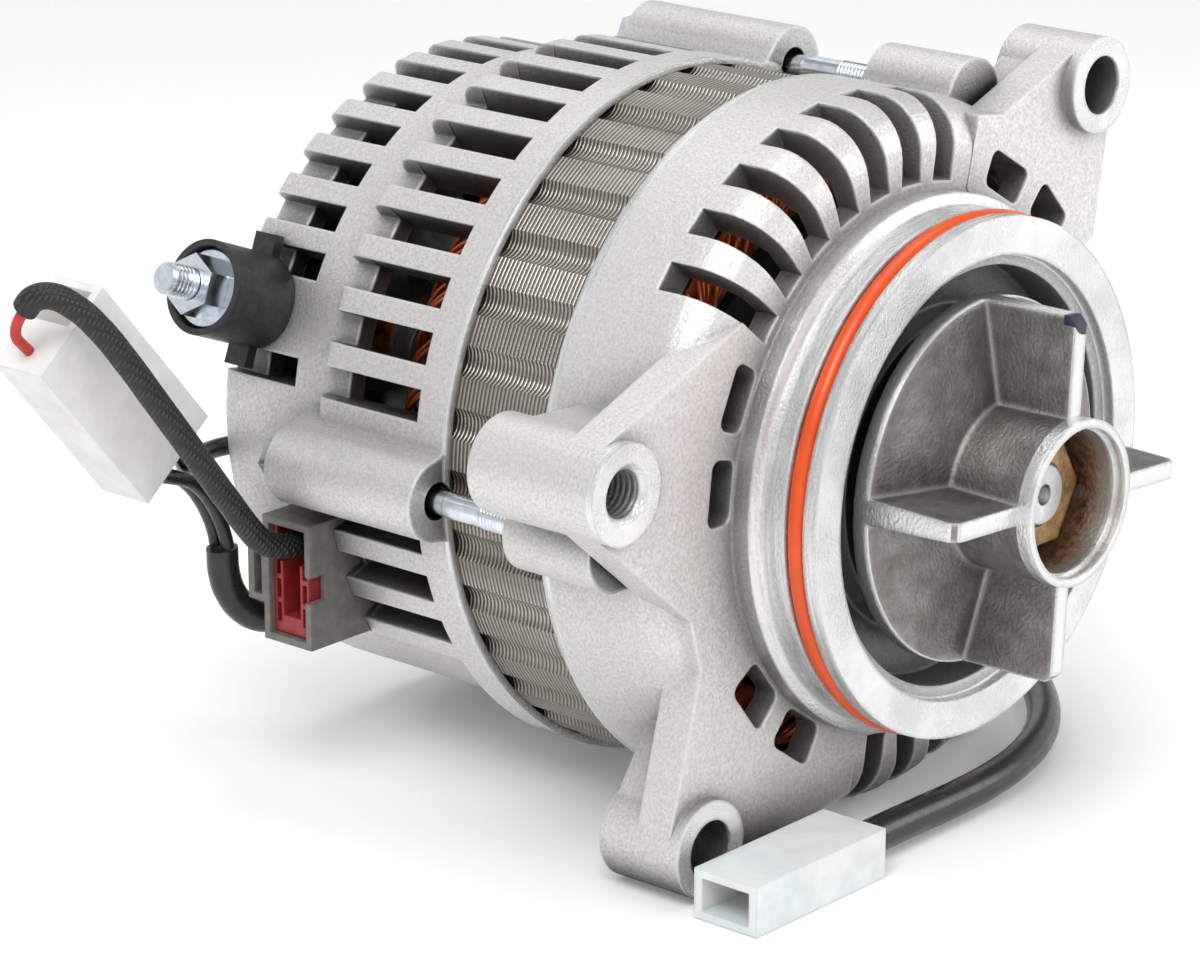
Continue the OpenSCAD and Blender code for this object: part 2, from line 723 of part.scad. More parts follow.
module stator_winding() {
  step = 360 / slot_count;
  r0 = stator_bore_r + 2;
  r1 = stator_bore_r + 11.4;
  color("#b04a20")
    union() {
      for (s = [[core_y0 - head_len, core_y0 - 0.3], [core_y1 + 0.3, core_y1 + head_len]])
        ring(r0, r1, s[0], s[1]);
      along_y(core_y0 - 1, core_y1 + 1)
        for (k = [0:slot_count - 1])
          rotate(step * k)
            translate([r0 - 0.6, -1.6])
              square([r1 - r0 + 0.3, 3.2]);
    }
}

// Bearings

module race_pair(outer_r, bore_r, pitch_r, ball, y0, w, which) {
  mid = y0 + w / 2;
  color("#9a9a98")
    difference() {
      if (which == "outer")
        ring(pitch_r + land, outer_r - seat_gap, y0, y0 + w);
      else
        ring(bore_r + seat_gap, pitch_r - land, y0, y0 + w);
      rotate([90, 0, 0])
        rotate_extrude()
          translate([pitch_r, -mid])
            circle(r = ball + ball_gap, $fn = 48);
    }
}

module ball_set(pitch_r, ball, mid, count) {
  color("#b5b5b2")
    union() {
      ring(pitch_r - 0.7, pitch_r + 0.7, mid - 1.2, mid + 1.2);
      for (k = [0:count - 1])
        at_angle(360 * k / count)
          translate([pitch_r, mid, 0])
            sphere(r = ball, $fn = 32);
    }
}

module front_bearing_outer() {
  race_pair(front_race_r, front_bore_r, front_pitch_r, front_ball_r, front_seat_y, front_race_w, "outer");
}

module front_bearing_inner() {
  race_pair(front_race_r, front_bore_r, front_pitch_r, front_ball_r, front_seat_y, front_race_w, "inner");
}

module front_bearing_balls() {
  ball_set(front_pitch_r, front_ball_r, front_seat_y + front_race_w / 2, 8);
}

module rear_bearing_outer() {
  race_pair(rear_race_r, rear_bore_r, rear_pitch_r, rear_ball_r, rear_bearing_y, rear_race_w, "outer");
}

module rear_bearing_inner() {
  race_pair(rear_race_r, rear_bore_r, rear_pitch_r, rear_ball_r, rear_bearing_y, rear_race_w, "inner");
}

module rear_bearing_balls() {
  ball_set(rear_pitch_r, rear_ball_r, rear_bearing_y + rear_race_w / 2, 8);
}

module bearing_retainer() {
  color("#8d9094")
    difference() {
      ring(front_race_r - 3, front_boss_r, retainer_y, retainer_y + retainer_t);
      for (a = retainer_holes)
        post(front_boss_r - 2.6, a, screw_r + seat_gap, retainer_y - 1, retainer_y + retainer_t + 1);
    }
}

module retainer_screws() {
  color("#b8b48c")
    for (a = retainer_holes) {
      post(front_boss_r - 2.6, a, screw_r, retainer_y - 7, retainer_y + retainer_t + 0.5);
      post(front_boss_r - 2.6, a, 2.5, retainer_y + retainer_t, retainer_y + retainer_t + 1.6);
    }
}

// Rotor

module rotor_shaft() {
  color("#a8a8a6")
    difference() {
      turned([[0, shaft_front_y], [thread_r - 0.7, shaft_front_y], [thread_r, shaft_front_y + 0.7],
        [thread_r, hub_floor_y], [spline_r, hub_floor_y], [spline_r, front_seat_y],
        [front_bore_r, front_seat_y], [front_bore_r, pole_y0], [shaft_r, pole_y0],
        [shaft_r, pole_y1 + 3], [shaft_r - 1.5, pole_y1 + 3], [shaft_r - 1.5, slip_hub_y0],
        [rear_bore_r, slip_hub_y0], [rear_bore_r, end_inner_y - 0.6], [0, end_inner_y - 0.6]]);
      turned([[0, shaft_front_y - 1], [1.9, shaft_front_y - 1], [1.9, shaft_front_y + 2.4],
        [0, shaft_front_y + 4]]);
    }
}

// One pole half, drawn as the front one: a turned cup with the gaps between its claws cut out
module claw_pole() {
  tip_y = pole_y1 - claw_tip_gap;
  pitch = 2 * PI * (rotor_r - 2) / claw_count;
  gap_root = (pitch - claw_root_w) / 2;
  gap_tip = (pitch - claw_tip_w) / 2;
  difference() {
    turned([[shaft_r + seat_gap, pole_y0], [rotor_r, pole_y0], [rotor_r, tip_y],
      [claw_inner_r + 2, tip_y], [claw_inner_r, pole_y0 + pole_t + 2], [claw_inner_r - 3, pole_y0 + pole_t],
      [pole_core_r, pole_y0 + pole_t], [pole_core_r, (pole_y0 + pole_y1) / 2 - 0.01],
      [shaft_r + seat_gap, (pole_y0 + pole_y1) / 2 - 0.01]]);
    for (k = [0:claw_count - 1])
      at_angle(360 * (k + 0.5) / claw_count)
        translate([pole_disc_r, 0, 0])
          rotate([90, 0, 90])
            linear_extrude(height = 20)
              polygon([[pole_y0 - 1, -gap_root], [pole_y0 + pole_t - 1, -gap_root],
                [tip_y + 2, -gap_tip], [tip_y + 2, gap_tip],
                [pole_y0 + pole_t - 1, gap_root], [pole_y0 - 1, gap_root]]);
  }
}

module claw_pole_front() {
  color("#8f8f8c")
    claw_pole();
}

module claw_pole_rear() {
  color("#868683")
    translate([0, pole_y0 + pole_y1, 0])
      rotate([0, 180 / claw_count, 0])
        rotate([0, 0, 180])
          claw_pole();
}

module field_coil() {
  color("#a5542c")
    turned([[pole_core_r + 0.2, pole_y0 + pole_t + 0.3], [coil_r, pole_y0 + pole_t + 0.3],
      [coil_r, pole_y1 - pole_t - 0.3], [pole_core_r + 0.2, pole_y1 - pole_t - 0.3]]);
}

module fan_blades(y0, y1, lean) {
  for (k = [0:blade_count - 1])
    at_angle(360 * k / blade_count)
      translate([front_boss_r + 3, y0, 0])
        rotate([0, lean, 0])
          cube([fan_r - front_boss_r - 4.5, y1 - y0, fan_t]);
}

module front_fan() {
  color("#7d8084")
    union() {
      ring(front_bore_r + 5, fan_r - 2, pole_y0 - fan_t, pole_y0);
      fan_blades(retainer_y + retainer_t + 1.2, pole_y0 - fan_t + 0.2, 25);
    }
}

module rear_fan() {
  color("#7d8084")
    union() {
      ring(shaft_r + seat_gap, fan_r - 2, pole_y1, pole_y1 + fan_t);
      fan_blades(pole_y1 + fan_t - 0.2, pole_y1 + 9, -25);
    }
}

module shaft_spacer() {
  color("#9c9c99")
    ring(front_bore_r + seat_gap, front_bore_r + 4, front_seat_y + front_race_w, pole_y0);
}

module slip_ring_hub() {
  color("#5a3a22")
    ring(rear_bore_r + seat_gap, slip_hub_r, slip_hub_y0, slip_hub_y1);
}

module slip_rings() {
  color("#c27a45")
    for (y = slip_y)
      ring(slip_hub_r + seat_gap, slip_r, y, y + slip_w);
}

// Drive coupling

module drive_coupling() {
  color("#b2b0ab")
    difference() {
      union() {
        turned([[spline_r + seat_gap, hub_floor_y], [hub_bore_r, hub_floor_y], [hub_bore_r, -hub_reach],
          [hub_r, -hub_reach], [hub_r, -disc_bulge], [coupling_r, 0], [coupling_r, disc_t],
          [hub_r, disc_t + 1.5], [hub_tail_r, disc_t + 3], [hub_tail_r, front_seat_y],
          [spline_r + seat_gap, front_seat_y]]);
        intersection() {
          turned([[hub_bore_r + 0.5, -vane_reach], [coupling_r - 1.5, -vane_reach],
            [coupling_r, 1.5 - vane_reach], [coupling_r, 1], [hub_bore_r + 0.5, 1]]);
          union()
            for (k = [0:3])
              at_angle(vane_angle + 90 * k)
                translate([hub_bore_r + 0.2, 0, 0])
                  rotate([90, 0, 90])
                    linear_extrude(height = coupling_r)
                      polygon([[-vane_reach - 1, -vane_t / 2], [2, -vane_root_t / 2],
                        [2, vane_root_t / 2], [-vane_reach - 1, vane_t / 2]]);
        }
      }
      // shallow step inside the hub's mouth
      ring(hub_bore_r - 0.5, hub_bore_r + 0.6, -hub_reach - 1, 2 - hub_reach);
    }
}

module coupling_washer() {
  color("#b98a3c")
    ring(thread_r + seat_gap, nut_af / 2 + 1.6, hub_floor_y - washer_t, hub_floor_y);
}

module coupling_nut() {
  color("#b0843c")
    difference() {
      hex_y(0, 0, nut_af, hub_floor_y - washer_t - nut_h, hub_floor_y - washer_t);
      bar_y(0, 0, thread_r + seat_gap, hub_floor_y - washer_t - nut_h - 1, hub_floor_y);
    }
}

// Fasteners that clamp the casings

module through_bolts() {
  seat = rear_rim_y + rear_boss_len;
  color("#c8ccd0")
    for (k = [0:2]) {
      a = bolt_angle + 120 * k;
      post(bolt_circle_r, a, bolt_r, front_rim_y - 16, rear_rim_y - 3);
      post(bolt_circle_r, a, shank_r, rear_rim_y - 3.2, seat + 0.5);
      post(bolt_circle_r, a, 5.2, seat, seat + 1);
      at_angle(a)
        hex_y(bolt_circle_r, 0, 8, seat + 0.8, seat + 4.5);
    }
}

// Rectifier

module stack_plate(y, t) {
  difference() {
    arc_block(stack_r0, stack_r1, y, y + t, stack_a0, stack_a1);
    for (a = post_angles)
      post(post_circle_r, a, screw_r + seat_gap, y - 1, y + t + 1);
  }
}

module rectifier_negative_plate() {
  color("#bdbfc1")
    union() {
      stack_plate(neg_plate_y, neg_plate_t);
      for (a = [10, 26, 42, 70, 86, 102, 131, 156, 166])
        at_angle(a)
          translate([stack_r0 + 2, neg_plate_y + neg_plate_t - 0.2, -0.8])
            cube([stack_r1 - stack_r0 - 5, 5, 1.6]);
    }
}

module rectifier_positive_plate() {
  color("#c6c8ca")
    stack_plate(pos_plate_y, pos_plate_t);
}

module rectifier_spacers() {
  color("#1c1c1c")
    for (a = post_angles)
      difference() {
        post(post_circle_r, a, post_r, pos_plate_y + pos_plate_t, neg_plate_y);
        post(post_circle_r, a, screw_r + seat_gap, pos_plate_y, neg_plate_y + 1);
      }
}

module diode_set(angles, y0, y1) {
  for (a = angles)
    post(diode_circle_r, a, diode_r, y0, y1);
}

module positive_diodes() {
  color("#55585c")
    diode_set(diode_angles, pos_plate_y - 4, pos_plate_y);
}

module negative_diodes() {
  color("#55585c")
    diode_set(diode_angles, neg_plate_y - 4, neg_plate_y);
}

module rectifier_screws() {
  color("#b8b48c")
    for (a = post_angles) {
      post(post_circle_r, a, screw_r, pos_plate_y - 0.5, end_inner_y - 2);
      post(post_circle_r, a, 3.4, pos_plate_y - 2.4, pos_plate_y);
    }
}

// Output terminal: drawn on +X and turned to its angle

module on_terminal() {
  at_angle(terminal_angle)
    translate([0, terminal_y, 0])
      rotate([0, 90, 0])
        children();
}

module terminal_strap() {
  color("#b77a3e")
    at_angle(terminal_angle)
      difference() {
        union() {
          translate([stack_r1 - 4, pos_plate_y - strap_t, -strap_w / 2])
            cube([rear_inner_r - 1.2 - stack_r1 + 4, strap_t, strap_w]);
          translate([rear_inner_r - 1.2 - strap_t, pos_plate_y - strap_t, -strap_w / 2])
            cube([strap_t, terminal_y + 4 - pos_plate_y + strap_t, strap_w]);
        }
        translate([0, terminal_y, 0])
          rotate([0, 90, 0])
            cylinder(r = stud_r + seat_gap, h = 80);
      }
}

module output_stud() {
  color("#c9ced2")
    on_terminal()
      union() {
        translate([0, 0, rear_inner_r - 6])
          cylinder(r = stud_core_r, h = stud_end_r - rear_inner_r + 6.2);
        translate([0, 0, stud_end_r])
          cylinder(r = stud_r, h = stud_tip_r - stud_end_r - 0.6);
        translate([0, 0, stud_tip_r - 0.7])
          cylinder(r = stud_r - 0.5, h = 0.7);
        translate([0, 0, rear_inner_r - 6])
          cylinder(d = stud_head_af / cos(30), h = 3.2, $fn = 6);
      }
}

module output_insulator() {
  color("#232323")
    difference() {
      union() {
        on_terminal()
          translate([0, 0, rear_inner_r - 1.1])
            cylinder(r = neck_r, h = clamp_r - rear_inner_r - 1);
        on_terminal()
          translate([0, 0, drum_r + 0.1])
            cylinder(r = insulator_r, h = clamp_r - drum_r + 1.2);
        at_angle(terminal_angle)
          translate([drum_r + 0.1, terminal_y - 2.6, -arm_reach])
            cube([2.2, 5.2, 2 * arm_reach]);
      }
      on_terminal()
        translate([0, 0, clamp_r - 1.4])
          cylinder(r = insulator_r - 1.2, h = 10);
      on_terminal()
        translate([0, 0, rear_inner_r - 3])
          cylinder(r = stud_r + seat_gap, h = 60);
    }
}

module output_washer() {
  color("#cfd3d6")
    on_terminal()
      difference() {
        translate([0, 0, clamp_r - 1.4])
          cylinder(r = washer_r, h = 1.5);
        cylinder(r = stud_r + seat_gap, h = 100);
      }
}

module output_nut() {
  color("#d5d9dc")
    on_terminal()
      difference() {
        translate([0, 0, clamp_r + 0.1])
          cylinder(r = nut_corner_r, h = 5, $fn = 6);
        cylinder(r = stud_r + seat_gap, h = 100);
      }
}

// Brushes

module brush_channel(y) {
  translate([-brush_x / 2 - guide_gap, y - brush_y / 2 - guide_gap, holder_floor_z + 2])
    cube([brush_x + 2 * guide_gap, brush_y + 2 * guide_gap, 60]);
}

module brush_holder() {
  color("#3a2a20")
    difference() {
      union() {
        translate([-holder_x / 2, holder_y0, holder_floor_z])
          cube([holder_x, holder_y1 - holder_y0, holder_top_z - holder_floor_z]);
        translate([-18, holder_y1 - 3, holder_floor_z])
          cube([36, 3, 11]);
      }
      for (y = slip_y)
        brush_channel(y + slip_w / 2);
    }
}

module brush(y) {
  color("#2e2e30")
    translate([-brush_x / 2, y - brush_y / 2, brush_bottom_z])
      cube([brush_x, brush_y, brush_len]);
}

module front_brush() {
  brush(slip_y[0] + slip_w / 2);
}

module rear_brush() {
  brush(slip_y[1] + slip_w / 2);
}

module brush_spring(y) {
  z0 = holder_floor_z + 2.1 + spring_wire_r;
  z1 = brush_bottom_z - 0.1 - spring_wire_r;
  turns = 5;
  steps = 10;
  color("#b9b9b4")
    tube([for (i = [0:turns * steps])
      let (a = 360 * i / steps)
      [spring_r * cos(a), y + spring_r * sin(a), z0 + (z1 - z0) * i / (turns * steps)]],
      spring_wire_r * 2, 6);
}

module front_brush_spring() {
  brush_spring(slip_y[0] + slip_w / 2);
}

module rear_brush_spring() {
  brush_spring(slip_y[1] + slip_w / 2);
}

// Regulator

module voltage_regulator() {
  color("#2a2c30")
    difference() {
      arc_block(stack_r0 + 2, stack_r1, reg_y0, reg_y1, reg_a0, reg_a1);
      for (a = reg_posts)
        post(post_circle_r - 3, a, screw_r + seat_gap, reg_y0 - 1, reg_y1 + 1);
      translate([socket_back_x - 1, socket_y - socket_w / 2 - 0.2, socket_z - socket_h / 2 - 0.2])
        cube([7, socket_w + 0.4, socket_h + 0.4]);
    }
}

module regulator_screws() {
  color("#b8b48c")
    for (a = reg_posts) {
      post(post_circle_r - 3, a, screw_r, reg_y0 - 0.5, end_inner_y - 2);
      post(post_circle_r - 3, a, 3.4, reg_y0 - 2.4, reg_y0);
    }
}

// Socket

module socket_box(x0, x1, grow) {
  translate([x0, socket_y - socket_w / 2 - grow, socket_z - socket_h / 2 - grow])
    cube([x1 - x0, socket_w + 2 * grow, socket_h + 2 * grow]);
}

module socket_housing() {
  color("#77756f")
    difference() {
      union() {
        socket_box(-socket_reach, socket_back_x, 0);
        translate([-socket_reach, socket_y + socket_w / 2 - 0.5, socket_z - 5])
          cube([12, 4.5, 11]);
      }
      socket_box(-socket_reach - 1, socket_back_x - 3, -socket_wall);
      translate([-socket_reach - 1, socket_y + socket_w / 2 + 0.6, socket_z - 3.6])
        cube([14, 1.9, 8.2]);
      translate([-socket_reach - 1, socket_y - socket_w / 2 - 1, socket_z - 3])
        cube([5, 3, 5]);
    }
}

module socket_insert() {
  w = socket_w - 2 * socket_wall - 0.4;
  h = socket_h - 2 * socket_wall - 0.4;
  column = (w - 4.4) / 2;
  color("#b5322e")
    difference() {
      translate([1.2 - socket_reach, socket_y - w / 2, socket_z - h / 2])
        cube([9, w, h]);
      translate([-socket_reach, socket_y - 2.2, socket_z - h / 2 + 3.4])
        cube([12, 4.4, h]);
      translate([-socket_reach, socket_y - w / 2 + 1, socket_z + h / 2 - 7])
        cube([12, w - 2, 10]);
      for (s = [-1, 1])
        for (k = [0:2])
          translate([-socket_reach, socket_y + s * (w / 2 - column / 2) - column / 4,
            socket_z - h / 2 + 2 + 4.6 * k])
            cube([6, column / 2, 3.6]);
    }
}

// Cords and what is on them

module braided_cord() {
  color("#2b2b2d")
    tube(braid_route, braid_d, 10);
}

module harness_connector() {
  color("#ecebe6")
    translate(plug_at)
      rotate([0, plug_tilt, 0])
        difference() {
          translate([-plug_len / 2, -plug_w / 2, -plug_h / 2])
            cube([plug_len, plug_w, plug_h]);
          translate([-plug_len / 2 - 1, 1.8 - plug_w / 2, 0.8])
            cube([14, plug_w - 3.6, 7.6]);
        }
}

module red_lead() {
  color("#c3241c")
    tube(red_route, red_d, 8);
}

module sense_wires() {
  color("#1d1d1e")
    union() {
      tube(sense_route_a, wire_d, 8);
      tube(sense_route_b, wire_d, 8);
    }
}

module wire_sleeve() {
  color("#242426")
    tube(sleeve_route, sleeve_d, 10);
}

module earth_wire() {
  color("#1d1d1e")
    tube(earth_route, earth_d, 8);
}

module cord_grommet() {
  color("#1e1e1e")
    at_angle(grommet_angle)
      translate([0, grommet_y, 0])
        rotate([0, 90, 0])
          union() {
            translate([0, 0, rear_inner_r - 1])
              cylinder(r = grommet_r, h = wall * 2 + 1.5);
            translate([0, 0, drum_r + 0.1])
              cylinder(r = grommet_flange_r, h = grommet_flange_t);
          }
}

module sleeved_cord() {
  color("#262628")
    tube(lead_route, lead_d, 10);
}

module lead_connector() {
  color("#ecebe6")
    difference() {
      translate([-66, -3, -66.2])
        cube([36, 14, 9.4]);
      translate([-67, -1.2, -64.6])
        cube([15, 10.4, 6.2]);
    }
}

front_frame();
rear_frame();
stator_core();
stator_winding();
pilot_o_ring();
front_seal();
front_bearing_outer();
front_bearing_inner();
front_bearing_balls();
bearing_retainer();
retainer_screws();
rotor_shaft();
claw_pole_front();
claw_pole_rear();
field_coil();
front_fan();
rear_fan();
slip_ring_hub();
slip_rings();
shaft_spacer();
rear_bearing_outer();
rear_bearing_inner();
rear_bearing_balls();
drive_coupling();
coupling_washer();
coupling_nut();
through_bolts();
rectifier_positive_plate();
rectifier_negative_plate();
rectifier_spacers();
positive_diodes();
negative_diodes();
rectifier_screws();
terminal_strap();
output_stud();
output_insulator();
output_washer();
output_nut();
brush_holder();
front_brush();
rear_brush();
front_brush_spring();
rear_brush_spring();
voltage_regulator();
regulator_screws();
socket_housing();
socket_insert();
braided_cord();
red_lead();
harness_connector();
sense_wires();
wire_sleeve();
earth_wire();
cord_grommet();
sleeved_cord();
lead_connector();
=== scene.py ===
import math
import random
import bpy
from mathutils import Matrix, Vector


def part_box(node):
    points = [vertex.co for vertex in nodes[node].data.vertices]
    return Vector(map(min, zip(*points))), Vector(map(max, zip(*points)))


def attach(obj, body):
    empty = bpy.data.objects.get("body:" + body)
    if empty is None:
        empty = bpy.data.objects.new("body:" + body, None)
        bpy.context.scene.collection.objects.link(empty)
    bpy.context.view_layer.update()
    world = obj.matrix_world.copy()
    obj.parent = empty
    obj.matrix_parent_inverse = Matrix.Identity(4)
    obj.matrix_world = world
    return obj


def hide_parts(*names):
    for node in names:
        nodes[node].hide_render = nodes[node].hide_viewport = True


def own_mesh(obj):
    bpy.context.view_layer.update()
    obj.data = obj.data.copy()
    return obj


bpy.ops.wm.read_factory_settings(use_empty=True)
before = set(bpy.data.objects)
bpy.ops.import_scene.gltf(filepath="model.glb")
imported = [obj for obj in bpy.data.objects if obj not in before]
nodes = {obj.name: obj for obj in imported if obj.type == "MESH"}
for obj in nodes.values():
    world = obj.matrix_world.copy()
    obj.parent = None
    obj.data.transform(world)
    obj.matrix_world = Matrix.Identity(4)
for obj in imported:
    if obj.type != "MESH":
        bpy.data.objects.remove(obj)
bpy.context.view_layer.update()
scene = bpy.context.scene
scene.view_settings.view_transform = "Standard"
rnd = random.Random(7)

# Sizes that the solids also have, in mm and degrees. Y is the shaft axis and points to the rear
MM = 0.001
BOLT_CIRCLE_R = 67.6
BOLT_ANGLES = (182, 302, 62)
EAR_CIRCLE_R = 81
NEAR_BOSS_ANGLE = 170.5
LOWER_EAR_ANGLE = 225
UPPER_EAR_ANGLE = 48
STUD_R = 80.75
STUD_ANGLE = 158.6
STUD_Y = 123.6
FRONT_CORE_Y = 45
REAR_CORE_Y = 71.2

# Camera, solved from the photo
CAMERA_LENS = 137.373
CAMERA_PLACE = (-0.629834, -0.458180, 0.247855)
AZ = math.radians(-48.9635)
EL = math.radians(17.7797)
cam_data = bpy.data.cameras.new("camera")
cam_data.lens = CAMERA_LENS
cam_data.sensor_width = 36
cam_data.sensor_fit = "HORIZONTAL"
cam_data.clip_start = 0.01
cam = bpy.data.objects.new("camera", cam_data)
scene.collection.objects.link(cam)
scene.camera = cam
back = Vector((math.sin(AZ) * math.cos(EL), -math.cos(AZ) * math.cos(EL), math.sin(EL)))
right = Vector((math.cos(AZ), math.sin(AZ), 0))
up = back.cross(right)
cam.matrix_world = Matrix((
    (right.x, up.x, back.x, CAMERA_PLACE[0]),
    (right.y, up.y, back.y, CAMERA_PLACE[1]),
    (right.z, up.z, back.z, CAMERA_PLACE[2]),
    (0, 0, 0, 1),
))


def polar(r, a):
    return r * math.cos(math.radians(a)), r * math.sin(math.radians(a))


def add_object(name, data):
    o = bpy.data.objects.new(name, data)
    scene.collection.objects.link(o)
    return o


class Mat:
    """A node material: short calls that add nodes and give back their output sockets."""

    def __init__(self, name):
        self.m = bpy.data.materials.new(name)
        self.m.use_nodes = True
        self.t = self.m.node_tree
        self.b = self.t.nodes["Principled BSDF"]
        self.co = None

    def new(self, kind, **kw):
        n = self.t.nodes.new(kind)
        for k, v in kw.items():
            setattr(n, k, v)
        return n

    def link(self, a, b):
        self.t.links.new(a, b)

    def put(self, sock, v):
        """Link an output to the socket, or give the socket a number or a colour."""
        if hasattr(v, "is_output"):
            self.link(v, sock)
        else:
            sock.default_value = (*v, 1) if hasattr(v, "__len__") else v

    def coord(self):
        if self.co is None:
            self.co = self.new("ShaderNodeTexCoord").outputs["Object"]
        return self.co

    def noise(self, scale, detail=4, rough=0.55, vec=None):
        n = self.new("ShaderNodeTexNoise")
        n.inputs["Scale"].default_value = scale
        n.inputs["Detail"].default_value = detail
        n.inputs["Roughness"].default_value = rough
        self.link(vec if vec is not None else self.coord(), n.inputs["Vector"])
        return n.outputs["Fac"]

    def stretch(self, sx, sy, sz):
        n = self.new("ShaderNodeMapping")
        n.inputs["Scale"].default_value = (sx, sy, sz)
        self.link(self.coord(), n.inputs["Vector"])
        return n.outputs["Vector"]

    def ramp(self, fac, stops):
        n = self.new("ShaderNodeValToRGB")
        el = n.color_ramp.elements
        while len(el) < len(stops):
            el.new(0.5)
        for e, (p, c) in zip(el, stops):
            e.position = p
            e.color = (*c, 1) if hasattr(c, "__len__") else (c, c, c, 1)
        self.link(fac, n.inputs["Fac"])
        return n.outputs["Color"]

    def mix(self, fac, a, b):
        n = self.new("ShaderNodeMix", data_type="RGBA")
        for sock, v in ((n.inputs[0], fac), (n.inputs[6], a), (n.inputs[7], b)):
            self.put(sock, v)
        return n.outputs[2]

    def math(self, op, a, b=0.0):
        n = self.new("ShaderNodeMath", operation=op)
        self.put(n.inputs[0], a)
        self.put(n.inputs[1], b)
        return n.outputs[0]

    def split(self):
        n = self.new("ShaderNodeSeparateXYZ")
        self.link(self.coord(), n.inputs[0])
        return n.outputs

    def length(self, a, b):
        return self.math("SQRT", self.math("ADD", self.math("MULTIPLY", a, a), self.math("MULTIPLY", b, b)))

    def within(self, v, low, high):
        """1 where v lies between low and high, in mm."""
        return self.math("MULTIPLY", self.math("GREATER_THAN", v, low * MM),
                         self.math("LESS_THAN", v, high * MM))

    def bend(self, radius, samples):
        """How far the rounded normal turns from the flat one: 0 on flats, more at edges."""
        bev = self.new("ShaderNodeBevel", samples=samples)
        bev.inputs["Radius"].default_value = radius
        geo = self.new("ShaderNodeNewGeometry")
        dot = self.new("ShaderNodeVectorMath", operation="DOT_PRODUCT")
        self.link(bev.outputs["Normal"], dot.inputs[0])
        self.link(geo.outputs["Normal"], dot.inputs[1])
        return self.math("SUBTRACT", 1.0, dot.outputs["Value"])

    def edge(self, radius, strength):
        """1 on outer edges, where the rounded normal leaves the flat one, in the open: the mask for painted
        highlights.
        """
        out = self.ramp(self.shade(radius * 2.5, 2), [(0.78, 0.0), (0.95, 1.0)])
        return self.math("MULTIPLY", self.math("MULTIPLY", self.bend(radius, 3), strength), out)

    def shade(self, dist, samples=3):
        """How open the spot is, from 0 in a deep crevice to 1 in the open."""
        n = self.new("ShaderNodeAmbientOcclusion", samples=samples)
        n.inputs["Distance"].default_value = dist
        return n.outputs["AO"]

    def disc(self, cx, cz, r0, r1, y0, y1):
        """1 on a flat annulus round the axis through cx, cz along Y, in mm."""
        x, y, z = self.split()
        rad = self.length(self.math("SUBTRACT", x, cx * MM), self.math("SUBTRACT", z, cz * MM))
        return self.math("MULTIPLY", self.within(rad, r0, r1), self.within(y, y0, y1))

    def bump(self, height, strength, dist=0.001, round_r=0.0):
        n = self.new("ShaderNodeBump")
        n.inputs["Strength"].default_value = strength
        n.inputs["Distance"].default_value = dist
        self.link(height, n.inputs["Height"])
        if round_r > 0:
            bev = self.new("ShaderNodeBevel", samples=3)
            bev.inputs["Radius"].default_value = round_r
            self.link(bev.outputs["Normal"], n.inputs["Normal"])
        self.link(n.outputs["Normal"], self.b.inputs["Normal"])

    def set(self, color, metal, rough, **kw):
        for sock, v in (("Base Color", color), ("Roughness", rough), ("Metallic", metal), *kw.items()):
            self.put(self.b.inputs[sock], v)


def cast(name, base, dark, turned, discs=()):
    """Blasted cast alloy with fine grain, painted shade in its hollows and painted highlights on its outer
    edges.

    turned lists bright turned zones round the shaft as (r0, r1, y0, y1) and discs lists the machined pads,
    as disc() takes them, both in mm.
    """
    grain, metal, rough = 0.5, 0.72, 0.46
    k = Mat(name)
    fine = k.noise(1800, 3, 0.6)
    big = k.noise(38, 5, 0.6)
    speck = k.noise(5200, 2, 0.5)
    c = k.mix(k.ramp(fine, [(0.32, 0.0), (0.68, 1.0)]), dark, base)
    c = k.mix(k.ramp(big, [(0.35, 0.0), (0.7, 0.35)]), c, [x * 0.86 for x in base])
    c = k.mix(k.ramp(speck, [(0.66, 0.0), (0.74, 0.5)]), c, (0.88, 0.878, 0.87))
    # Painted shade: the colour goes nearly black in crevices and hollows that the AO node finds closed in
    open_air = k.shade(0.013)
    c = k.mix(k.ramp(open_air, [(0.30, 1.0), (0.86, 0.0)]), c, (0.022, 0.021, 0.02))
    stain = k.noise(75, 5, 0.7)
    c = k.mix(k.ramp(stain, [(0.66, 0.0), (0.8, 0.35)]), c, [x * 0.6 for x in base])
    # Painted highlight: outer edges are lightened towards near white
    c = k.mix(k.edge(0.0010, 3.2), c, (0.95, 0.95, 0.94))
    r = k.ramp(fine, [(0.3, rough + 0.1), (0.7, rough - 0.08)])
    zone = 0.0
    for d in [(0, 0, *t) for t in turned] + list(discs):
        zone = k.math("MAXIMUM", zone, k.disc(*d))
    scratch = k.noise(60, 4, 0.6, k.stretch(1, 22, 1))
    bright = k.mix(k.ramp(scratch, [(0.35, 0.0), (0.7, 1.0)]), (0.60, 0.60, 0.60), (0.86, 0.86, 0.86))
    c = k.mix(zone, c, bright)
    r = k.mix(zone, r, k.ramp(scratch, [(0.3, 0.2), (0.7, 0.34)]))
    k.set(c, metal, r)
    k.bump(fine, grain, 0.00035, 0.0009)
    return k.m


M = {}
pads = [(*polar(EAR_CIRCLE_R, NEAR_BOSS_ANGLE), 0, 9.2, 14, 15.9),
        (*polar(EAR_CIRCLE_R, LOWER_EAR_ANGLE), 0, 8.6, 14, 15.2),
        (*polar(EAR_CIRCLE_R, UPPER_EAR_ANGLE), 0, 8.6, 14, 15.2)]
M["cast_front"] = cast("cast_front", (0.80, 0.79, 0.775), (0.56, 0.55, 0.536),
                       [(40.2, 50.2, -1, 13.2), (40.2, 47.7, -0.5, 14), (49, 66.3, 45.5, 48)], pads)
M["cast_rear"] = cast("cast_rear", (0.78, 0.77, 0.755), (0.545, 0.535, 0.521), [(63, 66.5, 69, 70.2)])
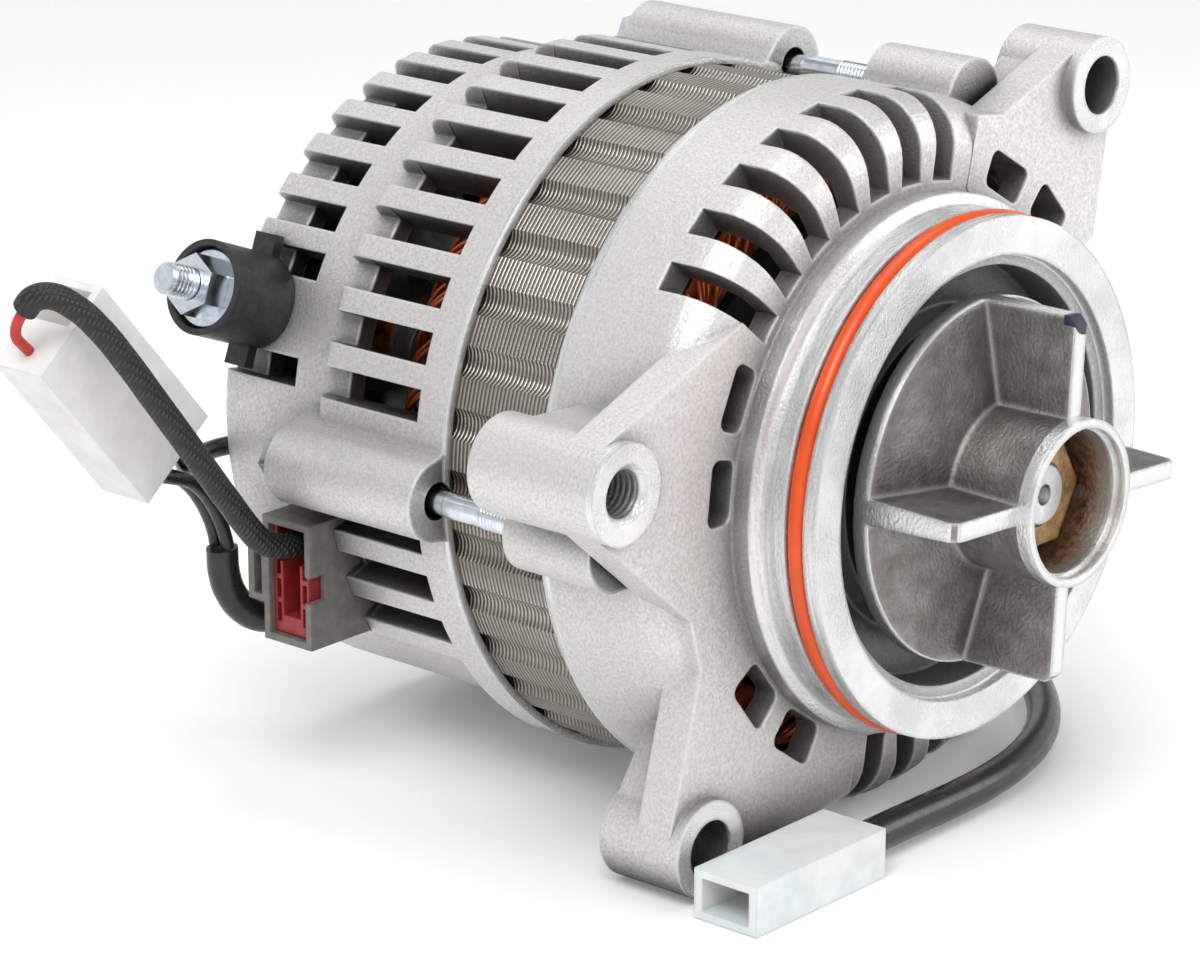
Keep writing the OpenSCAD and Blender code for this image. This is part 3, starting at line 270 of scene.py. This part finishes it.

# Coupling: darker cast faces, painted shade in its hollows, painted highlights on its rounded edges,
# polished vane edges and rim, rust low in the cup, a dab of dark paint on one vane. These places are in
# metres
VANE_FRONT_Y, RIM_R = -0.0186, 0.0330
CUP_R, CUP_FRONT_Y = 0.0134, -0.0192
RUST_FROM_Y, RUST_FULL_Y, RUST_WAVER = -0.0172, -0.0128, 0.002
DAB_X, DAB_Z, DAB_R, DAB_REAR_Y = 0.0032, 0.0330, 0.0033, -0.0165
k = Mat("coupling_alloy")
streak = k.noise(160, 6, 0.65)
fine = k.noise(1500, 3)
c = k.ramp(streak, [(0.3, (0.15, 0.136, 0.125)), (0.52, (0.25, 0.236, 0.223)), (0.72, (0.36, 0.345, 0.33))])
# Painted shade: hollows and crevices go nearly black
c = k.mix(k.ramp(k.shade(0.012), [(0.15, 0.85), (0.7, 0.0)]), c, (0.045, 0.04, 0.036))
c = k.mix(k.ramp(fine, [(0.4, 0.0), (0.8, 0.35)]), c, (0.22, 0.2, 0.185))
# Painted highlight: rounded edges and creases are lightened where the bevel normal turns
c = k.mix(k.math("MULTIPLY", k.bend(0.003, 4), 1.2), c, (0.62, 0.61, 0.59))
pits = k.noise(2600, 3, 0.6)
c = k.mix(k.ramp(pits, [(0.63, 0.0), (0.72, 0.8)]), c, (0.09, 0.085, 0.08))
# Painted highlight: outer edges are lightened towards near white
c = k.mix(k.edge(0.0009, 3.5), c, (0.86, 0.86, 0.85))
x, y, z = k.split()
rad = k.length(x, z)
bright = k.math("MAXIMUM", k.math("LESS_THAN", y, VANE_FRONT_Y), k.math("GREATER_THAN", rad, RIM_R))
c = k.mix(bright, c, (0.74, 0.74, 0.73))
cup = k.math("MULTIPLY", k.math("LESS_THAN", rad, CUP_R), k.math("GREATER_THAN", y, CUP_FRONT_Y))
c = k.mix(cup, c, (0.52, 0.50, 0.47))
deep = k.new("ShaderNodeMapRange", interpolation_type="SMOOTHSTEP")
deep.inputs["From Min"].default_value = RUST_FROM_Y
deep.inputs["From Max"].default_value = RUST_FULL_Y
k.link(k.math("ADD", y, k.math("MULTIPLY", k.noise(260, 3), RUST_WAVER)), deep.inputs["Value"])
rusty = k.math("MULTIPLY", k.math("MULTIPLY", cup, deep.outputs[0]),
               k.ramp(k.noise(420, 5, 0.7), [(0.36, 0.25), (0.56, 0.95)]))
c = k.mix(rusty, c, k.ramp(k.noise(900, 4), [(0.35, (0.16, 0.06, 0.02)), (0.65, (0.55, 0.27, 0.08))]))
r = k.mix(bright, k.ramp(fine, [(0.3, 0.5), (0.7, 0.36)]), (0.24, 0.24, 0.24))
far = k.length(k.math("SUBTRACT", x, DAB_X), k.math("SUBTRACT", z, DAB_Z))
dab = k.math("MULTIPLY", k.math("LESS_THAN", far, DAB_R), k.math("LESS_THAN", y, DAB_REAR_Y))
c = k.mix(dab, c, (0.012, 0.014, 0.04))
r = k.mix(dab, r, (0.3, 0.3, 0.3))
k.set(c, k.math("SUBTRACT", 0.85, k.math("MULTIPLY", dab, 0.85)), r)
k.bump(fine, 0.5, 0.0004, 0.0016)
M["coupling"] = k.m

# Laminations: thin lines along Y, dull nickel grey, with painted shade darkening the grooves
k = Mat("laminations")
wave = k.new("ShaderNodeTexWave", wave_type="BANDS", bands_direction="Y", wave_profile="SIN")
k.link(k.coord(), wave.inputs["Vector"])
wave.inputs["Scale"].default_value = 355
wave.inputs["Distortion"].default_value = 0.6
wave.inputs["Detail"].default_value = 2
wave.inputs["Detail Scale"].default_value = 6
tone = k.noise(90, 4, 0.6, k.stretch(1, 0.15, 1))
c = k.ramp(tone, [(0.3, (0.25, 0.23, 0.195)), (0.7, (0.50, 0.475, 0.42))])
# Painted shade: darker in the grooves between the blocks
c = k.mix(k.ramp(k.shade(0.004), [(0.25, 0.8), (0.75, 0.0)]), c, (0.06, 0.052, 0.042))
c = k.mix(k.ramp(wave.outputs["Fac"], [(0.12, 0.95), (0.5, 0.0)]), c, (0.11, 0.10, 0.085))
c = k.mix(k.ramp(k.noise(220, 5, 0.7), [(0.70, 0.0), (0.80, 0.5)]), c, (0.32, 0.22, 0.12))
for angle in BOLT_ANGLES:
    near = k.disc(*polar(BOLT_CIRCLE_R, angle), 0, 7.5, 44, 73)
    spots = k.ramp(k.noise(330, 5, 0.75), [(0.5, 0.0), (0.66, 0.75)])
    c = k.mix(k.math("MULTIPLY", near, spots), c, (0.24, 0.12, 0.05))
k.set(c, 0.8, k.ramp(tone, [(0.3, 0.42), (0.7, 0.30)]))
k.bump(wave.outputs["Fac"], 0.6, 0.0003)
M["laminations"] = k.m

# Copper: the solid winding, and the single wires over it
k = Mat("copper")
strand = k.noise(260, 3, 0.5, k.stretch(1, 0.5, 1))
c = k.ramp(strand, [(0.3, (0.22, 0.045, 0.014)), (0.5, (0.68, 0.20, 0.06)), (0.75, (0.95, 0.45, 0.18))])
k.set(c, 0.8, 0.32)
k.bump(strand, 0.5, 0.001)
M["copper"] = k.m
k = Mat("copper_wire")
n = k.noise(140, 3, 0.6)
k.set(k.ramp(n, [(0.3, (0.48, 0.065, 0.013)), (0.55, (0.90, 0.22, 0.055)), (0.8, (1.0, 0.47, 0.19))]),
      0.6, 0.25, **{"Coat Weight": 0.5})
M["copper_wire"] = k.m


def plain(name, a, b, scale, metal, rough, bump=0.1, dist=0.0002, soft=0.0004, **kw):
    """A mottled material between colours a and b, with a matching play of roughness and relief."""
    q = Mat(name)
    n = q.noise(scale, 4, 0.6)
    q.set(q.ramp(n, [(0.3, a), (0.7, b)]), metal,
          q.ramp(n, [(0.3, min(1, rough + 0.06)), (0.7, max(0, rough - 0.06))]), **kw)
    q.bump(n, bump, dist, soft)
    return q.m


M["o_ring"] = plain("o_ring", (0.66, 0.062, 0.002), (0.78, 0.088, 0.003),
                    90, 0.0, 0.36, 0.03, **{"Coat Weight": 0.1})
M["black_rubber"] = plain("black_rubber", (0.012, 0.012, 0.013), (0.03, 0.03, 0.031), 400, 0.0, 0.5, 0.15)
M["steel"] = plain("steel", (0.50, 0.50, 0.50), (0.68, 0.68, 0.68), 300, 1.0, 0.3)
M["boss_metal"] = plain("boss_metal", (0.34, 0.335, 0.33), (0.5, 0.495, 0.49), 900, 0.7, 0.42)
M["pole_steel"] = plain("pole_steel", (0.06, 0.058, 0.056), (0.13, 0.127, 0.122), 240, 0.7, 0.5)
M["zinc"] = plain("zinc", (0.60, 0.66, 0.72), (0.80, 0.85, 0.90), 500, 1.0, 0.2, 0.06, 0.0001, 0.0003)
M["oiled"] = plain("oiled", (0.28, 0.13, 0.03), (0.66, 0.50, 0.28), 350, 0.9, 0.34, 0.25)
M["sheet_alloy"] = plain("sheet_alloy", (0.20, 0.20, 0.205), (0.34, 0.34, 0.345), 300, 0.8, 0.45)
M["black_plastic"] = plain("black_plastic", (0.014, 0.014, 0.015), (0.035, 0.035, 0.036),
                           700, 0.0, 0.42, 0.12)
M["carbon"] = plain("carbon", (0.03, 0.03, 0.032), (0.09, 0.09, 0.095), 600, 0.3, 0.5)
M["grey_plastic"] = plain("grey_plastic", (0.13, 0.125, 0.115), (0.19, 0.18, 0.165), 500, 0.0, 0.5, 0.1)
M["red_plastic"] = plain("red_plastic", (0.24, 0.018, 0.016), (0.34, 0.03, 0.025), 500, 0.0, 0.38, 0.08)
M["nylon"] = plain("nylon", (0.72, 0.718, 0.705), (0.83, 0.828, 0.815), 200, 0.0, 0.35, 0.05,
                   **{"Subsurface Weight": 0.2})
M["wire_skin"] = plain("wire_skin", (0.009, 0.009, 0.010), (0.022, 0.022, 0.024), 300, 0.0, 0.28, 0.05)
M["red_skin"] = plain("red_skin", (0.42, 0.02, 0.012), (0.6, 0.035, 0.02), 300, 0.0, 0.4, 0.05)

# Braid: two crossing wave sets over black
k = Mat("braid")
n1 = k.new("ShaderNodeTexWave", wave_type="BANDS", bands_direction="DIAGONAL")
n2 = k.new("ShaderNodeTexWave", wave_type="BANDS", bands_direction="DIAGONAL")
k.link(k.coord(), n1.inputs["Vector"])
k.link(k.stretch(-1, 1, 1), n2.inputs["Vector"])
for n in (n1, n2):
    n.inputs["Scale"].default_value = 420
weave = k.math("MULTIPLY", n1.outputs["Fac"], n2.outputs["Fac"])
k.set(k.ramp(weave, [(0.2, (0.008, 0.008, 0.009)), (0.8, (0.04, 0.04, 0.043))]), 0.0, 0.5)
k.bump(weave, 0.6, 0.0004)
M["braid"] = k.m

use = {
    "front_frame": "cast_front", "rear_frame": "cast_rear", "drive_coupling": "coupling",
    "stator_core": "laminations", "stator_winding": "copper", "field_coil": "copper",
    "terminal_strap": "copper", "slip_rings": "copper", "pilot_o_ring": "o_ring",
    "front_seal": "black_rubber", "wire_sleeve": "black_rubber", "cord_grommet": "black_rubber",
    "claw_pole_front": "pole_steel", "claw_pole_rear": "pole_steel", "front_fan": "pole_steel",
    "rear_fan": "pole_steel", "bearing_retainer": "zinc", "retainer_screws": "zinc",
    "through_bolts": "zinc", "rectifier_screws": "zinc", "output_stud": "zinc",
    "output_washer": "zinc", "output_nut": "zinc", "regulator_screws": "zinc",
    "front_brush_spring": "zinc", "rear_brush_spring": "zinc", "coupling_washer": "oiled",
    "coupling_nut": "oiled", "rectifier_positive_plate": "sheet_alloy",
    "rectifier_negative_plate": "sheet_alloy", "positive_diodes": "sheet_alloy",
    "negative_diodes": "sheet_alloy", "rectifier_spacers": "black_plastic",
    "output_insulator": "black_plastic", "brush_holder": "black_plastic",
    "voltage_regulator": "black_plastic", "slip_ring_hub": "black_plastic",
    "front_brush": "carbon", "rear_brush": "carbon", "socket_housing": "grey_plastic",
    "socket_insert": "red_plastic", "harness_connector": "nylon", "lead_connector": "nylon",
    "braided_cord": "braid", "red_lead": "red_skin", "sense_wires": "wire_skin",
    "earth_wire": "wire_skin", "sleeved_cord": "wire_skin",
}
for name, o in nodes.items():
    o.data.materials.clear()
    o.data.materials.append(M[use.get(name, "steel")])


def tube(name, routes, radius, rings, steps, mat):
    """Smooth round wires along routes of points in mm, on the stationary body."""
    cu = bpy.data.curves.new(name, "CURVE")
    cu.dimensions = "3D"
    cu.bevel_depth = radius * MM
    cu.bevel_resolution = rings
    cu.resolution_u = steps
    cu.use_fill_caps = True
    for pts in routes:
        sp = cu.splines.new("BEZIER")
        sp.bezier_points.add(len(pts) - 1)
        for bp, p in zip(sp.bezier_points, pts):
            bp.co = Vector(p) * MM
            bp.handle_left_type = bp.handle_right_type = "AUTO"
    cu.materials.append(M[mat])
    o = add_object(name, cu)
    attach(o, "stationary")
    return o


# Cords: the CAD routes again, as smooth round curves
def cord(name, pts, d, mat="wire_skin"):
    return tube(name, [pts], d / 2, 6, 12, mat)


braid = [(-55.3, 105, -18), (-61, 105, -18), (-66, 105, -18), (-70.2, 105, -17.8), (-74.1, 105, -16.6),
         (-76.8, 105, -14.9), (-79, 105, -12.6), (-84, 105, -6.2), (-89, 105, 0.4), (-95, 105.1, 8.5),
         (-101, 105.6, 16.8), (-106.4, 106.6, 24.7), (-111.2, 108, 31.4), (-115, 110, 35.8),
         (-118.2, 112.6, 38), (-120, 115, 37.4), (-120.4, 116.8, 35.4)]
red = [(-120.4, 117, 35.1), (-120.7, 118.2, 33.2), (-120.5, 119.3, 31.2), (-119.8, 119.9, 29.4),
       (-118.6, 120, 28.1), (-116.95, 120, 26.45)]
o = cord("red_lead_visual", red, 2, mat="red_skin")
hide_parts("red_lead")
o = cord("braided_cord_visual", braid, 4.8, mat="braid")
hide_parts("braided_cord")
lead = [(56.6, 116, -32.6), (61, 116, -35.2), (65.5, 115.4, -38), (69.6, 113.2, -41.6), (72.8, 109.4, -46),
        (75, 104.2, -50.4), (76.2, 97.6, -54.4), (76.4, 90, -57.6), (75.8, 82, -59.7), (74.6, 73.5, -60.8),
        (72.8, 64, -61), (70.4, 54, -61), (67, 44, -61), (62.6, 35, -61.1), (57, 27.4, -61.2),
        (50, 20.6, -61.3), (42, 14.6, -61.4), (33, 9.8, -61.5), (23, 6.4, -61.6), (12, 4.4, -61.7),
        (0.5, 3.8, -61.8), (-10, 3.9, -61.8), (-20, 4, -61.8), (-29.7, 4, -61.8)]
o = cord("sleeved_cord_visual", lead, 6.5)
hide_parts("sleeved_cord")
sense = {"sense_wire_a": [(-89.9, 121.5, -1.2), (-87.7, 121.5, -3), (-84.6, 121.5, -4.2),
                          (-81.2, 121.5, -5.6), (-78, 121.7, -8), (-75, 122.2, -11.4),
                          (-72.6, 122.7, -15), (-71, 122.9, -18.6), (-70.3, 123, -21.4)],
         "sense_wire_b": [(-89.9, 118.5, -1.2), (-87.7, 118.5, -3), (-84.6, 118.5, -4.2),
                          (-81.2, 118.5, -5.6), (-78, 118.8, -8), (-75, 119.3, -11.4),
                          (-72.6, 119.8, -15), (-71, 120, -18.6), (-70.3, 120, -21.4)]}
for name, pts in sense.items():
    o = cord(name, pts, 2.6)
    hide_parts("sense_wires")
sleeve = [(-42.7, 118, -26.7), (-47.5, 118, -29.7), (-52.3, 118, -32.7), (-56, 118.2, -35.4),
          (-59.6, 118.8, -37), (-63, 119.6, -36.6), (-66.2, 120.5, -34.4), (-68.6, 121.2, -31),
          (-69.9, 121.5, -27), (-70.3, 121.5, -21.7)]
o = cord("wire_sleeve_visual", sleeve, 6)
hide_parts("wire_sleeve")
earth = [(-50, 130.2, -9), (-50, 133, -9), (-51.5, 135.6, -9), (-55, 136.8, -9), (-60.5, 136, -8.8),
         (-66, 133, -8.4), (-71, 129, -7.6), (-75, 125.4, -6), (-78.4, 122.4, -3.4), (-81.2, 120.6, 0),
         (-83.8, 120, 3.9)]
o = cord("earth_wire_visual", earth, 3.6)
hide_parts("earth_wire")


# Wires of the two winding heads, seen through the slots. The rear head mirrors the front one and is
# stretched along Y
WIRES, WIRE_R = 150, 0.42


def winding_head(name, rear, stretch=1.0):
    routes = []
    for i in range(WIRES):
        a = 360 / WIRES * i + rnd.uniform(-0.8, 0.8)
        lift = rnd.uniform(0, 0.5)
        span = rnd.uniform(20, 27)
        # Radius, share of the span round the shaft, and Y
        out = [(55.6, 0.0, 44.8), (56.7 + lift, 0.12, 40.5), (56.6 + lift, 0.3, 36.2 - lift),
               (54.4, 0.5, 33.2 - lift), (51.2, 0.68, 32.8 - lift), (48.4, 0.84, 33.6), (47.2, 1.0, 37)]
        route = []
        for r, t, y in out:
            ang = math.radians(a + t * span)
            wob = rnd.uniform(-0.25, 0.25)
            yy = y + wob
            yy = REAR_CORE_Y + (FRONT_CORE_Y - yy) * stretch if rear else yy
            route.append(((r + wob) * math.cos(ang), yy, (r + wob) * math.sin(ang)))
        routes.append(route)
    tube(name, routes, WIRE_R, 2, 6, "copper_wire")


winding_head("winding_wires_front", False)
winding_head("winding_wires_rear", True, 1.5)


def skin(name, verts, ring, mat, inward=False, caps=True):
    """A smooth skin over rings of points in mm, with flat caps, on the stationary body."""
    rows = len(verts) // ring
    faces = []
    for i in range(rows - 1):
        for j in range(ring):
            a, b = i * ring + j, i * ring + (j + 1) % ring
            quad = (a, b, b + ring, a + ring)
            faces.append(quad[::-1] if inward else quad)
    sides = len(faces)
    if caps:
        faces.append(tuple(range(ring - 1, -1, -1)))
        faces.append(tuple(range((rows - 1) * ring, rows * ring)))
    me = bpy.data.meshes.new(name)
    me.from_pydata([tuple(p * MM) for p in verts], [], faces)
    for p in me.polygons[:sides]:
        p.use_smooth = True
    me.materials.append(M[mat])
    o = add_object(name, me)
    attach(o, "stationary")
    return o


# Screw threads that show: ridges wound on the CAD cylinders
def thread(name, start, axis, root, crest, pitch, length, mat, caps=True):
    """A ridge between radii root and crest; one in a hole has its crest inside its root, and no caps."""
    axis = Vector(axis).normalized()
    u = axis.orthogonal().normalized()
    v = axis.cross(u)
    ring, rows_per_turn = 28, 6
    rows = int(length / pitch * rows_per_turn) + 1
    verts = []
    for i in range(rows):
        y = i * pitch / rows_per_turn
        for j in range(ring):
            ph = (y / pitch - j / ring) % 1.0
            ridge = 1 - abs(2 * ph - 1)
            ends = min(1.0, i / 3, (rows - 1 - i) / 3)
            rr = root + (crest - root) * min(1.0, ridge * 1.35) * ends
            ang = 2 * math.pi * j / ring
            verts.append(Vector(start) + axis * y + (u * math.cos(ang) + v * math.sin(ang)) * rr)
    skin(name, verts, ring, mat, crest < root, caps)


for i, angle in enumerate(BOLT_ANGLES):
    bx, bz = polar(BOLT_CIRCLE_R, angle)
    thread("bolt_thread_%d" % i, (bx, 47.4, bz), (0, 1, 0), 2.42, 2.66, 0.8, 10.4, "zinc")
nx, nz = polar(EAR_CIRCLE_R, NEAR_BOSS_ANGLE)
thread("boss_thread", (nx, 15.8, nz), (0, 1, 0), 4.34, 4.1, 1.25, 19.5, "boss_metal", caps=False)
sx, sz = polar(STUD_R, STUD_ANGLE)
ux, uz = polar(1, STUD_ANGLE)
thread("stud_thread", (sx, STUD_Y, sz), (ux, 0, uz), 2.85, 3.12, 1.0, 5.2, "zinc")


def coil_spring(name, node, y):
    z0, z1, turns, coil_r, wire_r = -39.5, -27.8, 8, 1.7, 0.35
    steps, ring = 28 * turns, 10
    line = []
    for i in range(steps + 1):
        t = i / steps
        rise = min(max((t * turns - 0.8) / (turns - 1.6), 0), 1)
        ang = 2 * math.pi * turns * t
        line.append(Vector((coil_r * math.cos(ang), y + coil_r * math.sin(ang), z0 + (z1 - z0) * rise)))
    verts = []
    for i, p in enumerate(line):
        tan = (line[min(i + 1, steps)] - line[max(i - 1, 0)]).normalized()
        out = Vector((p.x, p.y - y, 0)).normalized()
        side = tan.cross(out).normalized()
        for j in range(ring):
            a = 2 * math.pi * j / ring
            verts.append(p + (out * math.cos(a) + side * math.sin(a)) * wire_r)
    o = skin(name, verts, ring, "zinc")
    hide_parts(node)
    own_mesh(o)


coil_spring("front_spring_coil", "front_brush_spring", 98.5)
coil_spring("rear_spring_coil", "rear_brush_spring", 105.5)

# Floor: nearly white, with a faint glow of its own so that it stays pale in the shade
floor_z = min(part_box(n)[0][2] for n in nodes)
bpy.ops.mesh.primitive_plane_add(size=30, location=(0, 0, floor_z - 0.00002))
floor = bpy.context.object
floor.name = "floor"
k = Mat("floor_white")
n = k.noise(3, 2)
k.set(k.ramp(n, [(0.3, (0.93, 0.93, 0.935)), (0.7, (0.95, 0.95, 0.955))]), 0.0, 0.55)
seen = k.new("ShaderNodeLightPath").outputs
glow = k.math("MAXIMUM", k.math("MAXIMUM", seen["Is Camera Ray"], seen["Is Glossy Ray"]),
              seen["Is Transmission Ray"])
k.b.inputs["Emission Color"].default_value = (1, 1, 1, 1)
k.link(k.math("MULTIPLY", glow, 0.14), k.b.inputs["Emission Strength"])
floor.data.materials.append(k.m)

# Surroundings: soft grey and white patches for the metal to mirror
world = bpy.data.worlds.new("world")
scene.world = world
world.use_nodes = True
wt = world.node_tree
tc = wt.nodes.new("ShaderNodeTexCoord")
wn = wt.nodes.new("ShaderNodeTexNoise")
wn.inputs["Scale"].default_value = 1.7
wn.inputs["Detail"].default_value = 1
wr = wt.nodes.new("ShaderNodeValToRGB")
wr.color_ramp.elements[0].position = 0.42
wr.color_ramp.elements[0].color = (0.20, 0.20, 0.205, 1)
wr.color_ramp.elements[1].position = 0.56
wr.color_ramp.elements[1].color = (1.25, 1.25, 1.26, 1)
wt.links.new(tc.outputs["Generated"], wn.inputs["Vector"])
wt.links.new(wn.outputs["Fac"], wr.inputs["Fac"])
# A plain pale band round the horizon, behind the object in low views
wz = wt.nodes.new("ShaderNodeSeparateXYZ")
wt.links.new(tc.outputs["Generated"], wz.inputs[0])
band = wt.nodes.new("ShaderNodeMapRange")
band.inputs["From Min"].default_value = 0.16
band.inputs["From Max"].default_value = 0.36
band.inputs["To Min"].default_value = 1
band.inputs["To Max"].default_value = 0
wt.links.new(wz.outputs[2], band.inputs["Value"])
wm = wt.nodes.new("ShaderNodeMix")
wm.data_type = "RGBA"
wt.links.new(band.outputs[0], wm.inputs[0])
wt.links.new(wr.outputs["Color"], wm.inputs[6])
wm.inputs[7].default_value = (0.95, 0.95, 0.955, 1)
wt.links.new(wm.outputs[2], wt.nodes["Background"].inputs["Color"])
wt.nodes["Background"].inputs["Strength"].default_value = 0.85


def area(name, loc, target, size, size_y, power, color=(1, 1, 1)):
    d = bpy.data.lights.new(name, "AREA")
    d.shape = "RECTANGLE"
    d.size = size
    d.size_y = size_y
    d.energy = power
    d.color = color
    o = add_object(name, d)
    o.location = loc
    o.rotation_euler = (Vector(target) - Vector(loc)).to_track_quat("-Z", "Y").to_euler()


area("key", (-0.55, -0.25, 0.75), (0, 0.05, 0), 0.5, 0.5, 5.2)
area("top", (0.15, 0.15, 0.9), (0, 0.05, 0), 0.7, 0.7, 2.8)
area("right", (0.7, -0.55, 0.35), (0, 0.03, 0), 0.4, 0.6, 2.3)
